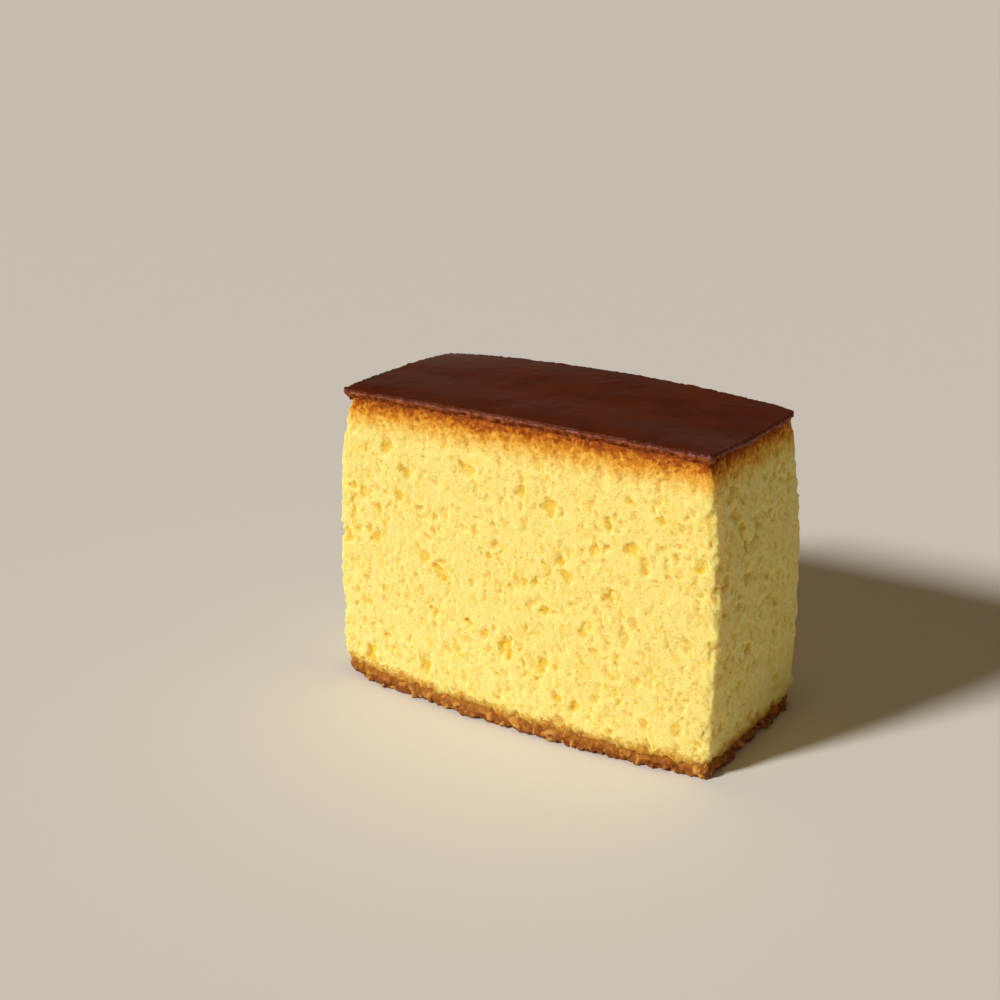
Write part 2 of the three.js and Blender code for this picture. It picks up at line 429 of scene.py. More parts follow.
def keep_numbers(piece, name, numbers):
    """Keeps one number a point in a named attribute, for the material to read."""
    attribute = piece.data.attributes.new(name, "FLOAT", "POINT")
    attribute.data.foreach_set("value", np.ascontiguousarray(numbers, dtype=np.float32))


def finish_piece(piece, name, material):
    """Names a piece, smooths it, gives it its material and ties it to the solid that it stands for."""
    piece.name = name
    piece.data.name = name
    piece.data.materials.clear()
    piece.data.materials.append(material)
    deselect_everything()
    piece.select_set(True)
    bpy.context.view_layer.objects.active = piece
    bpy.ops.object.mode_set(mode="EDIT")
    bpy.ops.mesh.select_all(action="SELECT")
    bpy.ops.mesh.normals_make_consistent(inside=False)
    bpy.ops.object.mode_set(mode="OBJECT")
    bpy.ops.object.shade_smooth()
    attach(piece, "root")
    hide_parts("castella_slice")


def fill_inputs(tree, node, **inputs):
    """Gives a node's inputs a value or a link. They go by name, with _ for a space, or by _ and a number."""
    for name, value in inputs.items():
        key = int(name[1:]) if name[1:].isdigit() else name.replace("_", " ")
        if isinstance(value, bpy.types.NodeSocket):
            tree.links.new(value, node.inputs[key])
        else:
            node.inputs[key].default_value = value


def add_node(tree, kind, settings=None, **inputs):
    """Adds a node with its settings and fills its inputs."""
    node = tree.nodes.new(kind)
    for name, value in (settings or {}).items():
        setattr(node, name, value)
    fill_inputs(tree, node, **inputs)
    return node


def set_ramp(node, stops):
    """Gives a colour ramp its stops, each a position and a colour."""
    ramp = node.color_ramp
    while len(ramp.elements) < len(stops):
        ramp.elements.new(0.5)
    for element, (position, shade) in zip(ramp.elements, stops):
        element.position = position
        element.color = (*shade, 1)
    return node.outputs["Color"]


def new_material(name):
    """An empty node material with its Principled surface."""
    material = bpy.data.materials.new(name)
    material.use_nodes = True
    tree = material.node_tree
    tree.nodes.clear()
    surface = add_node(tree, "ShaderNodeBsdfPrincipled")
    add_node(tree, "ShaderNodeOutputMaterial", Surface=surface.outputs["BSDF"])
    return material, tree, surface


def per_metre(millimetres):
    """The noise scale whose bumps are about a size in millimetres."""
    return 1 / (millimetres * MM)


def pore_depths(tree, place, size):
    """Round pores of a size in millimetres, strewn through the crumb: 0 between them, 1 in the deepest."""
    foam = add_node(tree, "ShaderNodeTexVoronoi", Vector=place, Scale=per_metre(size))
    draw = add_node(tree, "ShaderNodeSeparateColor", Color=foam.outputs["Color"]).outputs["Green"]
    away = foam.outputs["Distance"]
    near = add_node(
        tree, "ShaderNodeMapRange", SMOOTH, Value=away, From_Min=0.5, From_Max=0.1
    ).outputs["Result"]
    return add_node(tree, "ShaderNodeMath", {"operation": "MULTIPLY"}, _0=near, _1=draw).outputs[0]


def crumb_material(colours):
    """Sponge crumb, baked and cut: matt, soft and lit through, pale on the ridges, golden in the cells,
    where painted shade and glow darken it with depth.
    """
    material, tree, surface = new_material("baked_sponge_crumb")
    place = add_node(tree, "ShaderNodeTexCoord").outputs["Object"]
    deep = add_node(tree, "ShaderNodeAttribute", {"attribute_name": "cell_depth"}).outputs["Fac"]
    under = add_node(tree, "ShaderNodeAttribute", {"attribute_name": "below_skin"}).outputs["Fac"]
    over = add_node(tree, "ShaderNodeAttribute", {"attribute_name": "above_crust"}).outputs["Fac"]
    crumb, crumb_gold_and_shade = (*colours.crumb, 1), (*colours.crumb_gold_and_shade, 1)

    # Cells and pores go a deeper gold with their depth, as painted shade and glow; soft 2 mm patches are
    # gold at random.
    tongues = add_node(
        tree, "ShaderNodeTexNoise", Vector=place, Scale=per_metre(2.0), Detail=4.0, Roughness=0.7
    ).outputs["Fac"]
    patches = add_node(
        tree, "ShaderNodeMapRange", SMOOTH, Value=tongues, From_Min=0.48, From_Max=0.74, To_Max=0.6
    ).outputs["Result"]
    pits = add_node(tree, "ShaderNodeMapRange", Value=deep, From_Min=0.05, From_Max=0.75).outputs["Result"]
    pits = add_node(tree, "ShaderNodeMath", {"operation": "ADD"}, _0=pits, _1=patches).outputs[0]
    wide = pore_depths(tree, place, 0.9)
    narrow = pore_depths(tree, place, 0.5)
    pores = add_node(tree, "ShaderNodeMath", SCALE_AND_ADD, _0=narrow, _1=0.6, _2=wide).outputs[0]
    gold_and_pit_shade = add_node(
        tree, "ShaderNodeMath", {**SCALE_AND_ADD, "use_clamp": True}, _0=pores, _1=0.45, _2=pits
    ).outputs[0]
    yellow = add_node(tree, "ShaderNodeMix", OF_COLOURS, _0=gold_and_pit_shade, _6=crumb, _7=crumb_gold_and_shade).outputs[2]

    # The heat of baking under the skin ends unevenly, in tongues about 2 mm wide with finer bubbles in them.
    wander = add_node(tree, "ShaderNodeMath", SCALE_AND_ADD, _0=tongues, _1=5.0, _2=under).outputs[0]
    bubbles = add_node(tree, "ShaderNodeTexVoronoi", Vector=place, Scale=per_metre(0.6)).outputs["Color"]
    spot = add_node(tree, "ShaderNodeSeparateColor", Color=bubbles).outputs["Red"]
    wander = add_node(tree, "ShaderNodeMath", SCALE_AND_ADD, _0=spot, _1=1.6, _2=wander).outputs[0]
    heat = add_node(tree, "ShaderNodeMapRange", Value=wander, From_Min=3.2, From_Max=9.3).outputs["Result"]
    toast = set_ramp(
        add_node(tree, "ShaderNodeValToRGB", Fac=heat),
        (
            (0.0, colours.scorched),
            (0.12, colours.caramel),
            (0.24, colours.amber),
            (0.35, colours.toasted),
            (0.48, colours.honey),
            (0.62, colours.straw),
            (0.95, colours.crumb),
        ),
    )
    cooled = add_node(
        tree, "ShaderNodeMapRange", SMOOTH, Value=heat, From_Min=0.68, From_Max=1.0
    ).outputs["Result"]
    topped = add_node(tree, "ShaderNodeMix", OF_COLOURS, _0=cooled, _6=toast, _7=yellow).outputs[2]

    # The crumb is tanned for nearly 2 mm over the bottom crust, here more and there less.
    broad = add_node(tree, "ShaderNodeTexNoise", Vector=place, Scale=per_metre(6), Detail=1.0).outputs["Fac"]
    tanning = add_node(tree, "ShaderNodeMath", SCALE_AND_ADD, _0=broad, _1=2.0, _2=over).outputs[0]
    tanning = add_node(tree, "ShaderNodeMath", SCALE_AND_ADD, _0=tongues, _1=2.4, _2=tanning).outputs[0]
    tanning = add_node(tree, "ShaderNodeMath", SCALE_AND_ADD, _0=spot, _1=1.0, _2=tanning).outputs[0]
    fade = add_node(tree, "ShaderNodeMapRange", Value=tanning, From_Min=2.3, From_Max=5.0).outputs["Result"]
    tan = set_ramp(
        add_node(tree, "ShaderNodeValToRGB", Fac=fade),
        ((0.0, colours.golden), (0.35, colours.tan), (0.7, colours.tan_light), (1.0, colours.crumb)),
    )
    pale = add_node(
        tree, "ShaderNodeMapRange", SMOOTH, Value=tanning, From_Min=3.7, From_Max=5.0
    ).outputs["Result"]
    tanned = add_node(tree, "ShaderNodeMix", OF_COLOURS, _0=pale, _6=tan, _7=topped).outputs[2]

    # The pores are also dents a tenth of a millimetre deep, with a fine grain between them.
    grain = add_node(
        tree, "ShaderNodeTexNoise", Vector=place, Scale=per_metre(0.4), Detail=2.0, Roughness=0.6
    ).outputs["Fac"]
    foam = add_node(tree, "ShaderNodeMath", SCALE_AND_ADD, _0=pores, _1=-1.8, _2=grain).outputs[0]
    rough = add_node(tree, "ShaderNodeBump", Strength=1.0, Distance=0.1 * MM, Height=foam).outputs["Normal"]
    fill_inputs(tree, surface, Base_Color=tanned, Normal=rough, Roughness=0.95)
    fill_inputs(tree, surface, IOR=1.4, Specular_IOR_Level=0.06)
    fill_inputs(tree, surface, Subsurface_Weight=0.8, Subsurface_Radius=(1.0, 0.7, 0.25))
    fill_inputs(tree, surface, Subsurface_Scale=2.8 * MM)
    return material


def skin_material(colours):
    """Baked egg-and-sugar skin: dark reddish brown, smooth and satin, with faint dimples and mottling."""
    material, tree, surface = new_material("baked_sugar_skin")
    place = add_node(tree, "ShaderNodeTexCoord").outputs["Object"]
    mottle = add_node(
        tree, "ShaderNodeTexNoise", Vector=place, Scale=per_metre(9), Detail=4.0, Roughness=0.55
    ).outputs["Fac"]
    brown = set_ramp(
        add_node(tree, "ShaderNodeValToRGB", Fac=mottle), ((0.35, colours.skin), (0.7, colours.skin_light))
    )

    # A pinkish painted highlight, broken up by grains, runs along its top edge, and its cut rim is lighter
    # than its face.
    drop = add_node(tree, "ShaderNodeAttribute", {"attribute_name": "below_top"}).outputs["Fac"]
    grains = add_node(
        tree, "ShaderNodeTexNoise", Vector=place, Scale=per_metre(0.9), Detail=3.0, Roughness=0.7
    ).outputs["Fac"]
    side = set_ramp(
        add_node(tree, "ShaderNodeValToRGB", Fac=grains),
        ((0.38, colours.rim_dark), (0.52, colours.rim), (0.68, colours.rim_light)),
    )
    painted_edge_highlight = set_ramp(
        add_node(tree, "ShaderNodeValToRGB", Fac=grains),
        ((0.35, colours.skin_light), (0.6, colours.skin_edge_highlight)),
    )
    at_side = add_node(tree, "ShaderNodeMapRange", Value=drop, From_Min=0.3, From_Max=0.6).outputs["Result"]
    at_highlight = add_node(tree, "ShaderNodeMapRange", Value=drop, From_Min=0.0, From_Max=0.2).outputs["Result"]
    highlighted = add_node(tree, "ShaderNodeMix", OF_COLOURS, _0=at_highlight, _6=brown, _7=painted_edge_highlight).outputs[2]
    shaded = add_node(tree, "ShaderNodeMix", OF_COLOURS, _0=at_side, _6=highlighted, _7=side).outputs[2]
    dimples = add_node(
        tree, "ShaderNodeTexNoise", Vector=place, Scale=per_metre(1.6), Detail=3.0, Roughness=0.5
    ).outputs["Fac"]
    dimpled = add_node(
        tree, "ShaderNodeBump", Strength=0.35, Distance=0.12 * MM, Height=dimples
    ).outputs["Normal"]
    gloss = add_node(
        tree, "ShaderNodeMapRange", Value=mottle, From_Min=0.3, From_Max=0.7, To_Min=0.34, To_Max=0.44
    ).outputs["Result"]
    fill_inputs(tree, surface, Base_Color=shaded, Normal=dimpled, Roughness=gloss)
    fill_inputs(tree, surface, IOR=1.45, Specular_IOR_Level=0.11)
    return material


def crust_material(colours):
    """Bottom crust, peeled off its paper: toasted and rough, with scorched spots and sugary grains."""
    material, tree, surface = new_material("peeled_bottom_crust")
    place = add_node(tree, "ShaderNodeTexCoord").outputs["Object"]
    golden, crust_light = (*colours.golden, 1), (*colours.crust_light, 1)
    blotches = add_node(
        tree, "ShaderNodeTexNoise", Vector=place, Scale=per_metre(1.3), Detail=4.0, Roughness=0.7
    ).outputs["Fac"]
    grains = add_node(tree, "ShaderNodeTexVoronoi", Vector=place, Scale=per_metre(0.7)).outputs["Color"]
    grain_tone = add_node(tree, "ShaderNodeSeparateColor", Color=grains).outputs["Red"]
    tone = add_node(tree, "ShaderNodeMix", _0=0.28, _2=blotches, _3=grain_tone).outputs[0]
    brown = set_ramp(
        add_node(tree, "ShaderNodeValToRGB", Fac=tone),
        (
            (0.34, colours.crust_dark),
            (0.47, colours.crust),
            (0.58, colours.crust),
            (0.7, colours.crust_light),
        ),
    )

    # Towards the crumb the crust turns golden, unevenly, and crumbs stick to it.
    rise = add_node(tree, "ShaderNodeAttribute", {"attribute_name": "rise"}).outputs["Fac"]
    uneven = add_node(tree, "ShaderNodeMath", SCALE_AND_ADD, _0=tone, _1=3.0, _2=rise).outputs[0]
    high = add_node(tree, "ShaderNodeMapRange", Value=uneven, From_Min=2.3, From_Max=4.2).outputs["Result"]
    brown = add_node(tree, "ShaderNodeMix", OF_COLOURS, _0=high, _6=brown, _7=golden).outputs[2]
    crumbs = add_node(tree, "ShaderNodeAttribute", {"attribute_name": "stuck_crumbs"}).outputs["Fac"]
    brown = add_node(tree, "ShaderNodeMix", OF_COLOURS, _0=crumbs, _6=brown, _7=crust_light).outputs[2]
    grain = add_node(
        tree, "ShaderNodeTexNoise", Vector=place, Scale=per_metre(0.5), Detail=2.0, Roughness=0.6
    ).outputs["Fac"]
    rough = add_node(tree, "ShaderNodeBump", Strength=0.6, Distance=0.2 * MM, Height=grain).outputs["Normal"]
    fill_inputs(tree, surface, Base_Color=brown, Normal=rough, Roughness=0.6)
    fill_inputs(tree, surface, IOR=1.45, Specular_IOR_Level=0.12)
    fill_inputs(tree, surface, Subsurface_Weight=0.1, Subsurface_Radius=(1.0, 0.5, 0.2))
    fill_inputs(tree, surface, Subsurface_Scale=0.8 * MM)
    return material


def floor_material(colours):
    """Matt studio paint: an even pale grey that throws soft light back and shows no highlight."""
    material, tree, surface = new_material("matt_studio_paint")
    fill_inputs(tree, surface, Base_Color=(*colours.floor, 1), Roughness=0.9)
    return material


def open_cells(depth, wrap, spacing, cells):
    """Deepens the cut wherever an air cell lies open: what falls inside the cell goes back to its far wall.

    Each cell is a ball: its middle's column, row and depth, its radius, and how far it is stretched upwards.
    A wall that is thinner than torn_wall gives way, and a second round opens the cells behind opened ones.
    """
    rounds = 2
    torn_wall = 0.05
    rows = len(wrap.heights)
    column, row, deep, radius, stretch = cells
    reach = int(np.ceil((radius * stretch).max() / spacing)) + 1
    for _ in range(rounds):
        opened = depth.copy()
        for i in range(-reach, reach + 1):
            for j in range(-reach, reach + 1):
                at_column = np.round(column).astype(int) + i
                at_row = np.round(row).astype(int) + j
                across = (at_column - column) * spacing
                upwards = (at_row - row) * spacing / stretch
                left = radius**2 - across**2 - upwards**2
                half = np.sqrt(np.maximum(left, 0))
                fits = (left > 0) & (at_row >= 0) & (at_row < rows)
                at_column = at_column % wrap.columns
                at_row = np.clip(at_row, 0, rows - 1)
                fits &= deep - half <= depth[at_row, at_column] + torn_wall
                np.maximum.at(opened, (at_row[fits], at_column[fits]), (deep + half)[fits])
        depth[:] = opened


def torn(field, form, wrap, spacing):
    """The field with its outlines torn: each point takes its value from a little way off."""
    rows, columns = field.shape
    shifts = [form.relief(wrap.places, "cell_tears_" + way, "cell_fray_" + way) for way in ("up", "along")]
    row, column = np.indices(field.shape) + np.array(shifts) / spacing
    short_of_last_row = rows - 1.001
    row = np.clip(row, 0, short_of_last_row)
    low_row, low_column = np.floor(row).astype(int), np.floor(column).astype(int)
    row_share, column_share = row - low_row, column - low_column
    left, right = low_column % columns, (low_column + 1) % columns
    under = blend(field[low_row, left], field[low_row, right], column_share)
    over = blend(field[low_row + 1, left], field[low_row + 1, right], column_share)
    return blend(under, over, row_share)


class CASTELLA_OT_crumb(bpy.types.Operator):
    """Adds the sponge crumb: a tube squared to the block, its cut sides opened by air cells"""

    bl_idname = "castella.crumb"
    bl_label = "Sponge Crumb"

    # In millimetres: how far short of the block's top and foot the tube ends, how far its sides stand back,
    # how far each side's hollow blends into its neighbour's, and how far the corners stand out.
    hidden = 0.8
    stand_back = 0.15
    waist_blend = 1.5
    corner_out = 0.1

    # How far the sides sink behind the skin and the crust, and from where to where over their edges.
    skin_sink, skin_from, skin_to = 0.7, 0.1, 1.0
    crust_sink, crust_from, crust_to = 0.9, 0.4, -1.2

    # The share of a cell's depth that a worn corner lacks, and the depth that no cell passes.
    corner_shallow = 0.7
    deepest_cell = 1.0

    # The largest cells: least and most radius and stretch, and the share of a radius that middles vary by.
    large_radius = (0.75, 1.25)
    large_stretch = (0.8, 1.5)
    large_spread = 0.9

    # The smaller cells: how many in a square millimetre, least and most radius, and the deepest middle.
    small_cells = (
        {"crowd": 0.03, "least": 0.45, "most": 0.85, "deepest": 0.8},
        {"crowd": 0.13, "least": 0.4, "most": 0.6, "deepest": 0.5},
        {"crowd": 0.3, "least": 0.3, "most": 0.42, "deepest": 0.2},
    )
    small_stretch = (0.8, 1.6)

    def execute(self, context):
        form = Form(context.scene.castella_sizes)
        rows = round((form.height - 2 * self.hidden) / form.crumb_pitch)
        # A multiple of three lets the upright edges be cut in two goes.
        rows -= rows % 3
        heights = np.linspace(self.hidden, form.height - self.hidden, rows + 1)
        wrap = Wrap(form, form.crumb_pitch, heights, form.corner_round)
        deselect_everything()
        bpy.ops.mesh.primitive_cylinder_add(vertices=wrap.columns, radius=1, depth=1, end_fill_type="NGON")
        piece = context.object
        bpy.ops.object.mode_set(mode="EDIT")
        cut_upright_edges(piece, rows)
        bpy.ops.object.mode_set(mode="OBJECT")

        # The tube's points become the wrap's, column by column from the front left corner.
        tube = places_of(piece)
        turn = np.arctan2(tube[:, 1], tube[:, 0]) / math.tau - 0.25
        column = np.round(turn * wrap.columns).astype(int) % wrap.columns
        row = np.round((tube[:, 2] + 0.5) * rows).astype(int)
        depth = self.cell_depths(form, wrap) * (1 - self.corner_shallow * wrap.near_corner)
        cut = wrap.pushed(self.uncut_relief(form, wrap) - depth)
        put_places(piece, cut[row, column])
        keep_numbers(piece, "cell_depth", depth[row, column])
        keep_numbers(piece, "below_skin", (form.height - form.skin_thickness - wrap.height)[row, column])
        keep_numbers(piece, "above_crust", (wrap.height - form.crust_thickness)[row, column])
        finish_piece(piece, "crumb", crumb_material(context.scene.castella_colours))
        return {"FINISHED"}

    def uncut_relief(self, form, wrap):
        """How far the crumb stands out before its cells are opened."""
        skin_edge = form.height - form.skin_thickness
        waist = np.array([s["waist"] for s in SIDES])[wrap.side]
        turn = round(self.waist_blend / form.crumb_pitch)
        waist = np.mean([np.roll(waist, n) for n in range(-turn, turn + 1)], axis=0)
        hollow = waist * smoothstep(wrap.height, form.height - WAIST_REACH, skin_edge)
        out = -self.stand_back - hollow * (1 + form.relief(wrap.places, "waist_swells"))
        out += form.relief(wrap.places, "crumb_swells", "crumb_ridges", "crumb_fine_ridges", "crumb_crags")
        chips = form.relief(wrap.places, "corner_chips", "corner_nicks") - self.corner_out
        out -= chips * wrap.near_corner
        edge = wrap.height + form.relief(wrap.places, "crumb_edge_wander", "crumb_edge_fringe")
        out -= self.skin_sink * smoothstep(edge, skin_edge + self.skin_from, skin_edge + self.skin_to)
        crust_edge = form.crust_thickness
        out -= self.crust_sink * smoothstep(edge, crust_edge + self.crust_from, crust_edge + self.crust_to)
        return out

    def cell_depths(self, form, wrap):
        """How deep each point of the cut lies back in an open air cell."""
        pitch = form.crumb_pitch
        depth = np.zeros(wrap.height.shape)
        random = np.random.default_rng(form.seed)
        foot = wrap.heights[0]
        large = []
        for side, along, up, radius_draw, deep_draw, stretch_draw in form.opened_cells():
            column = wrap.starts[side] + along / pitch + wrap.counts[side] / 2
            radius = blend(*self.large_radius, radius_draw)
            deep = radius * (deep_draw - 0.5) * self.large_spread
            stretch = blend(*self.large_stretch, stretch_draw)
            large.append((column, (up - foot) / pitch, deep, radius, stretch))
        open_cells(depth, wrap, pitch, np.array(large).T)

        area = wrap.columns * pitch * (wrap.heights[-1] - foot)
        for kind in self.small_cells:
            count = int(area * kind["crowd"])
            cells = np.array(
                [
                    random.uniform(0, wrap.columns, count),
                    random.uniform(0, len(wrap.heights), count),
                    random.uniform(-kind["least"] / 2, kind["deepest"], count),
                    blend(kind["least"], kind["most"], random.uniform(0, 1, count) ** 2),
                    random.uniform(*self.small_stretch, count),
                ]
            )
            open_cells(depth, wrap, pitch, cells)
        depth = self.deepest_cell * (1 - np.exp(-depth / self.deepest_cell))
        return torn(depth, form, wrap, pitch)


def rimmed_sheet(size, pitch, steps, way):
    """Adds a sheet with its rim drawn up or down in steps and its far end closed with one face.

    Gives the piece, and for each point its place in plan, from -1 to 1 each way, and the step's distance.
    """
    deselect_everything()
    columns, rows = (round(side / pitch) for side in size)
    bpy.ops.mesh.primitive_grid_add(x_subdivisions=columns, y_subdivisions=rows, size=2)
    piece = bpy.context.object
    bpy.ops.object.mode_set(mode="EDIT")
    select_edges(piece, lambda e: e.is_boundary)
    for _ in steps:
        bpy.ops.mesh.extrude_edges_move(TRANSFORM_OT_translate={"value": (0, 0, way)})
    bpy.ops.mesh.edge_face_add()
    bpy.ops.object.mode_set(mode="OBJECT")
    sheet = places_of(piece)
    step = np.round(way * sheet[:, 2]).astype(int)
    return piece, crowded(sheet[:, 0]), crowded(sheet[:, 1]), np.array((0, *steps))[step]


def crowded(share):
    """Draws places from -1 to 1 closer together towards both ends, for a finer rim."""
    drawn, even = 0.7, 0.3
    return drawn * np.sin(share * math.pi / 2) + even * share


def rounded_plan(form, a, b, height, radius):
    """Places of a sheet in plan with its corners rounded.

    Gives x and y, the way out at each place, and how far in it lies from the rim and from the near corner.
    """
    x, y = form.plan(a, b, height)
    in_x = (1 - np.abs(a)) * form.top_length / 2
    in_y = (1 - np.abs(b)) * form.top_thickness / 2
    over_x = np.maximum(radius - in_x, 0)
    over_y = np.maximum(radius - in_y, 0)
    nothing = 1e-9
    far = np.maximum(np.hypot(over_x, over_y), nothing)
    fit = np.maximum(over_x, over_y) / far
    x = x - np.sign(a) * over_x * (1 - fit)
    y = y - np.sign(b) * over_y * (1 - fit)

    # The way out turns from one side's to the next one's within a fraction of a millimetre of the diagonal.
    steep = 6.0
    nearly_nothing = 1e-30
    toward_x = np.exp(-in_x * steep)
    toward_y = np.exp(-in_y * steep)
    total = np.maximum(np.hypot(toward_x, toward_y), nearly_nothing)
    faces = np.stack([np.sign(a) * toward_x / total, np.sign(b) * toward_y / total], axis=-1)
    return x, y, faces, np.minimum(in_x, in_y), np.maximum(in_x, in_y)


class CASTELLA_OT_top_skin(bpy.types.Operator):
    """Adds the baked skin: a domed sheet whose rim is drawn down over the crumb"""

    bl_idname = "castella.top_skin"
    bl_label = "Baked Skin"

    # How far each ring of the rim lies below the top, in millimetres.
    drops = (0.12, 0.25, 0.4, 0.55, 0.7, 0.9, 1.1, 1.3, 1.55, 1.8, 2.1)

    # Its corners' share of the crumb's rounding, its edge's own radius and how far down the rim that acts.
    corner_share = 0.6
    edge_round = 0.25
    edge_drop = 1.0

    # How far in from the edge the rough lip reaches, and between which distances the sugar beads rise.
    lip_reach = 0.5
    beads_from, beads_to = 0.7, 0.1

    # How far the rim tucks in behind the crumb, and between which drops.
    tuck, tuck_from, tuck_to = 0.9, 0.7, 1.7

    def execute(self, context):
        form = Form(context.scene.castella_sizes)
        size = (form.top_length, form.top_thickness)
        piece, a, b, drop = rimmed_sheet(size, form.skin_pitch, self.drops, -1)
        x, y, faces, edge, _ = rounded_plan(form, a, b, form.height, form.corner_round * self.corner_share)
        top = form.height + form.dome(a, b) + form.front_bead * smoothstep(b, 0, -1)
        flat = np.stack([x, y, top - drop], axis=-1)

        rough = form.relief(flat, "lip_lumps", "lip_grains") * smoothstep(edge, self.lip_reach, 0)
        wander = form.relief(flat * IN_PLAN, "skin_edge_wander", "skin_edge_fringe")
        tucked = self.tuck * smoothstep(drop + wander, self.tuck_from, self.tuck_to)
        out = form.skin_lip + form.relief(flat, "lip_swells") + rough - tucked
        beads = form.relief(flat, "skin_beads") * smoothstep(edge, self.beads_from, self.beads_to)
        over = np.maximum(self.edge_round - edge, 0)
        rounding = self.edge_round - np.sqrt(np.maximum(self.edge_round**2 - over**2, 0))
        face_rise = form.relief(flat, "skin_waves", "skin_dimples") + beads - rounding
        rim_rise = -self.edge_round * smoothstep(drop, self.edge_drop, 0)

        moved = flat.copy()
        moved[:, :2] += faces * (out * smoothstep(edge, RIM_REACH, 0))[:, None]
        moved[:, 2] += np.where(drop == 0, face_rise, rim_rise)
        put_places(piece, moved)
        keep_numbers(piece, "below_top", drop)
        finish_piece(piece, "top_skin", skin_material(context.scene.castella_colours))
        return {"FINISHED"}


class CASTELLA_OT_bottom_crust(bpy.types.Operator):
    """Adds the bottom crust: a sheet with its torn rim drawn up round the crumb"""

    bl_idname = "castella.bottom_crust"
    bl_label = "Bottom Crust"

    # How far each ring of the rim lies above the underside, in millimetres.
    rises = (0.25, 0.5, 0.75, 1.0, 1.25, 1.5, 1.75, 2.0, 2.25, 2.5, 2.8, 3.1, 3.5, 4.0)

    # How far the rim stands out and crumbs stand on it, in millimetres, and how much calmer corners are.
    stand_out = 0.1
    crumb_height = 0.9
    corner_calm = 0.8

    # How far the rim sinks in at its ragged upper edge and over how much height, and the same beyond it.
    sink, sink_spread = 1.1, 0.7
    last_sink, last_spread = 0.6, 1.0

    # How far the notches lift the foot of the rim at least, and how far in and how far up they reach.
    least_lift = 0.05
    lift_reach = 1.2
    lift_height = 1.8

    # How far the peeled underside stands off the ground, how high crumbs are where they start to show and
    # where they show fully, and the share that is left of them far in from the rim.
    peel_lift = 0.05
    crumbs_from, crumbs_to, crumbs_inside = 0.05, 0.3, 0.2

    def execute(self, context):
        form = Form(context.scene.castella_sizes)
        size = (form.base_length, form.base_thickness)
        piece, a, b, rise = rimmed_sheet(size, form.skin_pitch, self.rises, 1)
        x, y, faces, edge, corner = rounded_plan(form, a, b, rise, form.corner_round)
        flat = np.stack([x, y, rise], axis=-1)
        near = smoothstep(edge, RIM_REACH, 0)

        crumbs = form.relief(flat, "stuck_crumbs")
        ragged = form.crust_ragged * form.relief(flat, "crust_tears")
        ragged += form.relief(flat, "crust_lumps", "crust_fine_lumps") + self.crumb_height * crumbs
        ragged *= 1 - self.corner_calm * smoothstep(corner, RIM_REACH, 0)
        wander = form.relief(flat, "crust_edge_wander", "crust_edge_fringe")
        wander += form.relief(flat * IN_PLAN, "crust_edge_sweep")
        upper = form.crust_thickness
        sunk = self.sink * smoothstep(rise + wander, upper - self.sink_spread, upper + self.sink_spread)
        sunk += self.last_sink * smoothstep(rise, upper, upper + self.last_spread)
        out = self.stand_out + ragged - sunk

        lift = form.relief(flat * IN_PLAN, "crust_notches", "crust_fine_notches")
        lift += self.least_lift + BASE_CORNER_LIFT * form.worn_corner(a, b)
        lift *= smoothstep(edge, self.lift_reach, 0) * smoothstep(rise, self.lift_height, 0)
        peeled = self.peel_lift + form.relief(flat, "crust_peel")

        moved = flat.copy()
        moved[:, :2] += faces * (out * near)[:, None]
        moved[:, 2] += lift + np.where(rise == 0, peeled, 0)
        put_places(piece, moved)
        shown = smoothstep(crumbs, self.crumbs_from, self.crumbs_to) * blend(self.crumbs_inside, 1, near)
        keep_numbers(piece, "rise", rise)
        keep_numbers(piece, "stuck_crumbs", shown)
        finish_piece(piece, "bottom_crust", crust_material(context.scene.castella_colours))
        return {"FINISHED"}


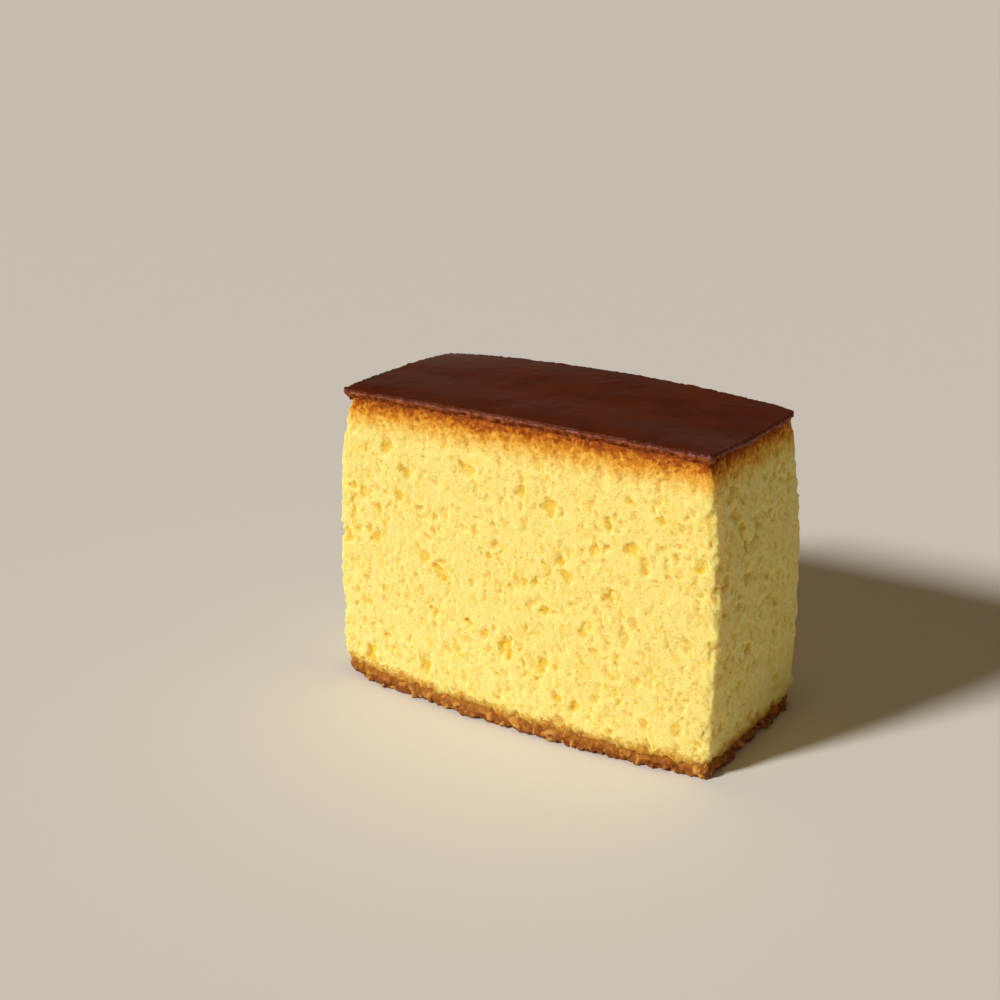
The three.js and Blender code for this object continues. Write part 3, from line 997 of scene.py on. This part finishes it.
class CASTELLA_OT_stage(bpy.types.Operator):
    """Adds the studio: a pale floor, soft light and the camera"""

    bl_idname = "castella.stage"
    bl_label = "Studio Stage"

    # The camera, in millimetres and degrees: its place, how far it is turned left and tipped down, its lens,
    # the width of its sensor, and the nearest and furthest that it sees.
    camera_place = (142.97, -242.78, 134.07)
    camera_turn = 32.7
    camera_tip = 19.4
    camera_lens = 63.8
    camera_sensor = 36
    nearest, furthest = 10, 20000

    # The light all round, as linear red, green and blue: pale at the walls, dim over them and warm overhead.
    wall = (0.555, 0.504, 0.427)
    dim = (0.016, 0.012, 0.006)
    half_ceiling = (0.15, 0.105, 0.055)
    ceiling = (0.3, 0.21, 0.11)

    # The key light: the way it shines, its strength, how many degrees wide it is and its warm white.
    key_way = (0.394, 0.74, -0.545)
    key_strength = 3.2
    key_width = 10
    key_colour = (1.0, 0.975, 0.93)

    def execute(self, context):
        self.add_floor(context)
        self.add_camera(context)
        self.add_air(context)
        self.add_key(context)
        context.scene.view_settings.view_transform = "Standard"
        return {"FINISHED"}

    @staticmethod
    def add_floor(context):
        """Adds a floor so wide that it ends where the wall's light starts."""
        deselect_everything()
        bpy.ops.mesh.primitive_plane_add(size=context.scene.castella_sizes.floor_size)
        floor = context.object
        floor.name = "studio_floor"
        floor.data.materials.append(floor_material(context.scene.castella_colours))

    def add_camera(self, context):
        """Adds the camera, in front of the slice, to its right and a little above it."""
        data = bpy.data.cameras.new("camera")
        data.lens = self.camera_lens
        data.sensor_width = self.camera_sensor
        data.clip_start = self.nearest * MM
        data.clip_end = self.furthest * MM
        camera = bpy.data.objects.new("camera", data)
        camera.location = [v * MM for v in self.camera_place]
        camera.rotation_euler = (math.radians(90 - self.camera_tip), 0, math.radians(self.camera_turn))
        context.scene.collection.objects.link(camera)
        context.scene.camera = camera

    def add_air(self, context):
        """Adds the light all round, which changes with how steeply up one looks."""
        world = bpy.data.worlds.new("studio_air")
        world.use_nodes = True
        tree = world.node_tree
        way = add_node(tree, "ShaderNodeTexCoord").outputs["Generated"]
        up = add_node(tree, "ShaderNodeSeparateXYZ", Vector=way).outputs["Z"]
        glow = set_ramp(
            add_node(tree, "ShaderNodeValToRGB", Fac=up),
            (
                (0.0, self.wall),
                (0.1, self.wall),
                (0.2, self.dim),
                (0.5, self.dim),
                (0.75, self.half_ceiling),
                (1.0, self.ceiling),
            ),
        )
        fill_inputs(tree, tree.nodes["Background"], Color=glow)
        context.scene.world = world

    def add_key(self, context):
        """Adds one broad warm key light from the front left."""
        data = bpy.data.lights.new("key", "SUN")
        data.angle = math.radians(self.key_width)
        data.energy = self.key_strength
        data.color = self.key_colour
        key = bpy.data.objects.new("key", data)
        key.rotation_euler = mathutils.Vector(self.key_way).to_track_quat("-Z", "Y").to_euler()
        context.scene.collection.objects.link(key)


class CASTELLA_PT_panel(bpy.types.Panel):
    """Lists the slice's sizes, colours and pieces"""

    bl_idname = "CASTELLA_PT_panel"
    bl_label = "Castella"
    bl_space_type = "VIEW_3D"
    bl_region_type = "UI"
    bl_category = "Castella"

    def draw(self, context):
        for group in (context.scene.castella_sizes, context.scene.castella_colours):
            for name in group.__annotations__:
                self.layout.prop(group, name)
        for operator in OPERATORS:
            self.layout.operator(operator.bl_idname)


OPERATORS = (CASTELLA_OT_stage, CASTELLA_OT_crumb, CASTELLA_OT_top_skin, CASTELLA_OT_bottom_crust)
CLASSES = (CastellaSizes, CastellaColours, *OPERATORS, CASTELLA_PT_panel)


def register():
    for cls in CLASSES:
        bpy.utils.register_class(cls)
    bpy.types.Scene.castella_sizes = PointerProperty(type=CastellaSizes)
    bpy.types.Scene.castella_colours = PointerProperty(type=CastellaColours)


def unregister():
    del bpy.types.Scene.castella_colours
    del bpy.types.Scene.castella_sizes
    for cls in reversed(CLASSES):
        bpy.utils.unregister_class(cls)


def main():
    register()
    bpy.ops.castella.stage()
    bpy.ops.castella.crumb()
    bpy.ops.castella.top_skin()
    bpy.ops.castella.bottom_crust()


if __name__ == "__main__":
    main()
